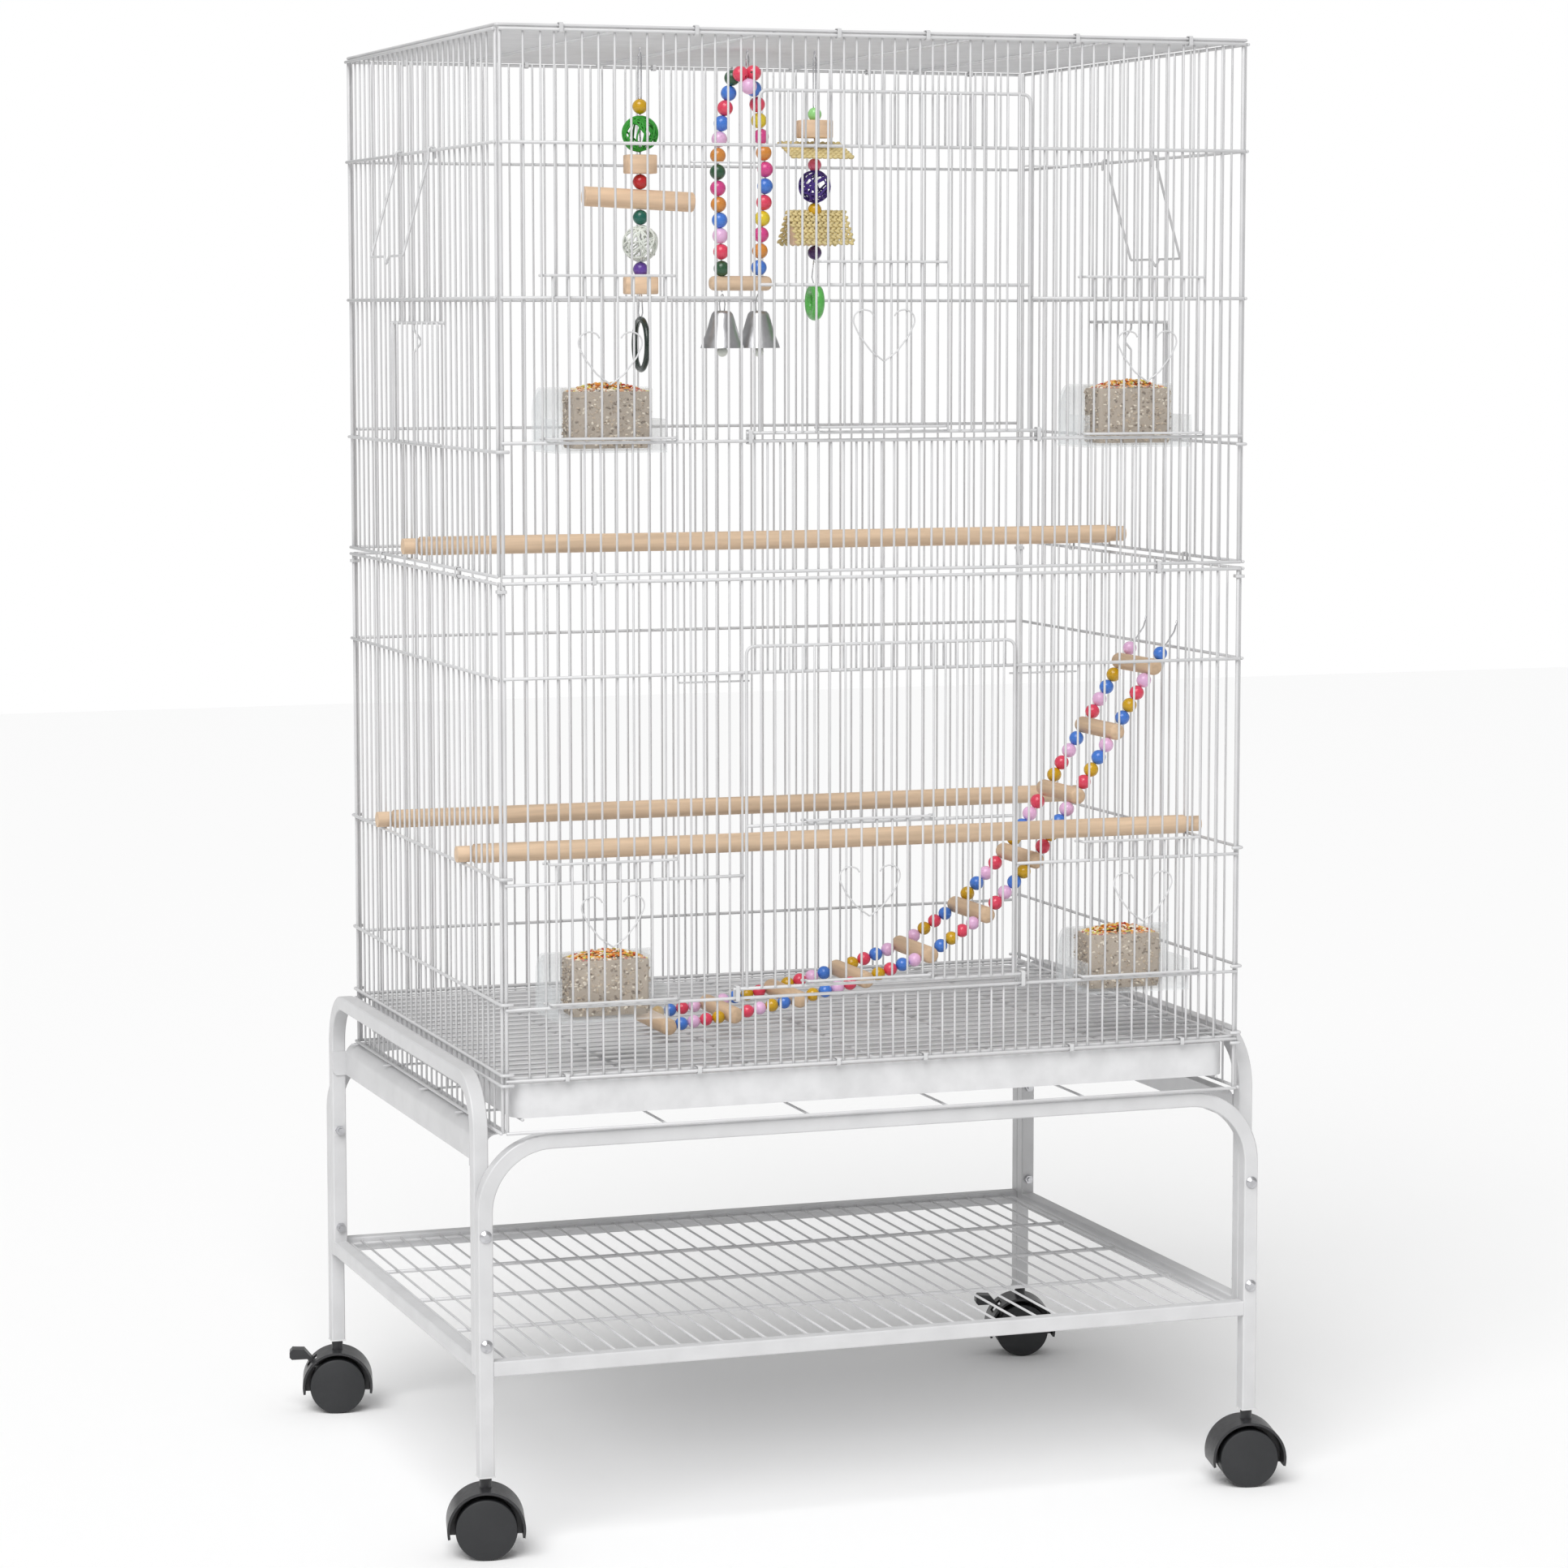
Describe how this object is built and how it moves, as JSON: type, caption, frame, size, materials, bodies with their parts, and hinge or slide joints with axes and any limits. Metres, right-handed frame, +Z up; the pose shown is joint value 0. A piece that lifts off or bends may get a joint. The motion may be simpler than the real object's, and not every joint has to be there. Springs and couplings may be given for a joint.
{
  "type": "bird cage on rolling stand",
  "caption": "Tall two-storey wire bird cage with drop-down doors, feeders, perches and hanging toys, on a square-tube stand with a mesh shelf and four hooded casters.",
  "frame": {"origin": "on the floor under the middle of the cage and stand", "axes": "+Z up, the doors and tray face -Y, +X to the right seen from the front"},
  "size_m": [0.9021, 0.6722, 1.4671],
  "materials": {
    "white_steel": "white powder coat, satin",
    "zinc_steel": "bright zinc",
    "bright_wire": "bright drawn wire",
    "black_plastic": "satin black moulding",
    "wheel_plastic": "matte black wheel",
    "plug_plastic": "pale grey plug",
    "bare_wood": "bare turned hardwood",
    "toy_wood": "bare wood and dyed beads",
    "cup_plastic": "clear cup full of seed",
    "clear_plastic": "clear plastic",
    "tray_plastic": "white moulded plastic",
    "bead_plastic": "gloss paint in several colours",
    "bell_metal": "polished"
  },
  "bodies": {
    "root": {"front_frame": "white_steel", "back_frame": "white_steel", "side_frame_left": "white_steel", "side_frame_right": "white_steel", "ledge_left": "white_steel", "ledge_right": "white_steel", "shelf_mesh": "white_steel", "frame_bolts": "zinc_steel", "frame_nuts": "zinc_steel", "leg_plugs": "plug_plastic", "front_panel_upper": "white_steel", "front_panel_lower": "white_steel", "back_panel_upper": "white_steel", "back_panel_lower": "white_steel", "side_panel_left_upper": "white_steel", "side_panel_left_lower": "white_steel", "side_panel_right_upper": "white_steel", "side_panel_right_lower": "white_steel", "top_panel": "white_steel", "floor_grate": "white_steel", "tray_rack": "white_steel", "panel_clips": "zinc_steel", "perches": "bare_wood", "seed_guards": "clear_plastic", "ladder_cords": "bright_wire", "ladder_rungs": "toy_wood"},
    "caster_fl": {"caster_hood_fl": "black_plastic"},
    "wheels_fl": {"caster_wheels_fl": "wheel_plastic"},
    "caster_fr": {"caster_hood_fr": "black_plastic"},
    "wheels_fr": {"caster_wheels_fr": "wheel_plastic"},
    "caster_bl": {"caster_hood_bl": "black_plastic"},
    "wheels_bl": {"caster_wheels_bl": "wheel_plastic"},
    "caster_br": {"caster_hood_br": "black_plastic"},
    "wheels_br": {"caster_wheels_br": "wheel_plastic"},
    "brake_bl": {"brake_lever_bl": "black_plastic"},
    "brake_br": {"brake_lever_br": "black_plastic"},
    "door_upper": {"door_upper": "white_steel"},
    "small_door_upper": {"small_door_upper": "white_steel"},
    "door_lower": {"door_lower": "white_steel"},
    "small_door_lower": {"small_door_lower": "white_steel"},
    "feeder_door_ul": {"feeder_door_ul": "white_steel"},
    "feeder_door_ur": {"feeder_door_ur": "white_steel"},
    "feeder_door_ll": {"feeder_door_ll": "white_steel"},
    "feeder_door_lr": {"feeder_door_lr": "white_steel"},
    "feeder_cup_ul": {"feeder_cup_ul": "cup_plastic"},
    "feeder_cup_ur": {"feeder_cup_ur": "cup_plastic"},
    "feeder_cup_ll": {"feeder_cup_ll": "cup_plastic"},
    "feeder_cup_lr": {"feeder_cup_lr": "cup_plastic"},
    "side_door_left": {"side_door_left": "white_steel"},
    "side_door_right": {"side_door_right": "white_steel"},
    "side_hanger_left": {"side_hanger_left": "white_steel"},
    "side_hanger_right": {"side_hanger_right": "white_steel"},
    "tray": {"tray": "tray_plastic"},
    "swing": {"swing_frame": "bright_wire", "swing_perch": "bare_wood", "swing_beads": "bead_plastic", "swing_bells": "bell_metal"},
    "toy_left": {"toy_left": "toy_wood"},
    "toy_right": {"toy_right": "toy_wood"}
  },
  "joints": [
    {"name": "swivel_fl", "type": "hinge", "parent": "root", "child": "caster_fl", "pos_m": [-0.4037, -0.3049, 0.08], "axis": [0, 0, 1], "continuous": true},
    {"name": "roll_fl", "type": "hinge", "parent": "caster_fl", "child": "wheels_fl", "pos_m": [-0.4037, -0.3049, 0.03], "axis": [0.2334, 0.9724, 0], "continuous": true},
    {"name": "swivel_fr", "type": "hinge", "parent": "root", "child": "caster_fr", "pos_m": [0.4037, -0.3049, 0.08], "axis": [0, 0, 1], "continuous": true},
    {"name": "roll_fr", "type": "hinge", "parent": "caster_fr", "child": "wheels_fr", "pos_m": [0.4037, -0.3049, 0.03], "axis": [0.2334, 0.9724, 0], "continuous": true},
    {"name": "swivel_bl", "type": "hinge", "parent": "root", "child": "caster_bl", "pos_m": [-0.4037, 0.3049, 0.08], "axis": [0, 0, 1], "continuous": true},
    {"name": "roll_bl", "type": "hinge", "parent": "caster_bl", "child": "wheels_bl", "pos_m": [-0.4037, 0.3049, 0.03], "axis": [0.2334, 0.9724, 0], "continuous": true},
    {"name": "swivel_br", "type": "hinge", "parent": "root", "child": "caster_br", "pos_m": [0.4037, 0.3049, 0.08], "axis": [0, 0, 1], "continuous": true},
    {"name": "roll_br", "type": "hinge", "parent": "caster_br", "child": "wheels_br", "pos_m": [0.4037, 0.3049, 0.03], "axis": [0.2334, 0.9724, 0], "continuous": true},
    {"name": "brake_press_bl", "type": "hinge", "parent": "caster_bl", "child": "brake_bl", "pos_m": [-0.42733, 0.31057, 0.0525], "axis": [-0.2334, -0.9724, 0], "range_deg": [0, 10]},
    {"name": "brake_press_br", "type": "hinge", "parent": "caster_br", "child": "brake_br", "pos_m": [0.38007, 0.31057, 0.0525], "axis": [-0.2334, -0.9724, 0], "range_deg": [0, 10]},
    {"name": "door_upper_hinge", "type": "hinge", "parent": "root", "child": "door_upper", "pos_m": [0, -0.31922, 1.081], "axis": [1, 0, 0], "range_deg": [0, 110]},
    {"name": "small_door_upper_slide", "type": "slide", "parent": "door_upper", "child": "small_door_upper", "axis": [0, 0, 1], "range_m": [0, 0.105]},
    {"name": "door_lower_hinge", "type": "hinge", "parent": "root", "child": "door_lower", "pos_m": [0, -0.31922, 0.543], "axis": [1, 0, 0], "range_deg": [0, 100]},
    {"name": "small_door_lower_slide", "type": "slide", "parent": "door_lower", "child": "small_door_lower", "axis": [0, 0, 1], "range_m": [0, 0.105]},
    {"name": "feeder_door_ul_slide", "type": "slide", "parent": "root", "child": "feeder_door_ul", "axis": [0, 0, 1], "range_m": [0, 0.12]},
    {"name": "feeder_door_ur_slide", "type": "slide", "parent": "root", "child": "feeder_door_ur", "axis": [0, 0, 1], "range_m": [0, 0.12]},
    {"name": "feeder_door_ll_slide", "type": "slide", "parent": "root", "child": "feeder_door_ll", "axis": [0, 0, 1], "range_m": [0, 0.12]},
    {"name": "feeder_door_lr_slide", "type": "slide", "parent": "root", "child": "feeder_door_lr", "axis": [0, 0, 1], "range_m": [0, 0.12]},
    {"name": "feeder_cup_ul_lift", "type": "slide", "parent": "root", "child": "feeder_cup_ul", "axis": [0, 0, 1], "range_m": [0, 0.06]},
    {"name": "feeder_cup_ur_lift", "type": "slide", "parent": "root", "child": "feeder_cup_ur", "axis": [0, 0, 1], "range_m": [0, 0.06]},
    {"name": "feeder_cup_ll_lift", "type": "slide", "parent": "root", "child": "feeder_cup_ll", "axis": [0, 0, 1], "range_m": [0, 0.06]},
    {"name": "feeder_cup_lr_lift", "type": "slide", "parent": "root", "child": "feeder_cup_lr", "axis": [0, 0, 1], "range_m": [0, 0.06]},
    {"name": "side_door_left_hinge", "type": "hinge", "parent": "root", "child": "side_door_left", "pos_m": [-0.39102, -0.0218, 1.0668], "axis": [0, -1, 0], "range_deg": [0, 110]},
    {"name": "side_door_right_hinge", "type": "hinge", "parent": "root", "child": "side_door_right", "pos_m": [0.39102, -0.0218, 1.0668], "axis": [0, 1, 0], "range_deg": [0, 110]},
    {"name": "side_hanger_left_swing", "type": "hinge", "parent": "root", "child": "side_hanger_left", "pos_m": [-0.38772, -0.0218, 1.3547], "axis": [0, 1, 0], "range_deg": [0, 60]},
    {"name": "side_hanger_right_swing", "type": "hinge", "parent": "root", "child": "side_hanger_right", "pos_m": [0.38772, -0.0218, 1.3547], "axis": [0, -1, 0], "range_deg": [0, 60]},
    {"name": "tray_slide", "type": "slide", "parent": "root", "child": "tray", "axis": [0, -1, 0], "range_m": [0, 0.45]},
    {"name": "swing_swing", "type": "hinge", "parent": "root", "child": "swing", "pos_m": [-0.046, -0.0218, 1.4634], "axis": [1, 0, 0], "range_deg": [-35, 35]},
    {"name": "toy_left_swing", "type": "hinge", "parent": "root", "child": "toy_left", "pos_m": [-0.153, -0.0218, 1.4634], "axis": [1, 0, 0], "range_deg": [-25, 25]},
    {"name": "toy_right_swing", "type": "hinge", "parent": "root", "child": "toy_right", "pos_m": [0.035, -0.0218, 1.4634], "axis": [1, 0, 0], "range_deg": [-25, 25]}
  ]
}
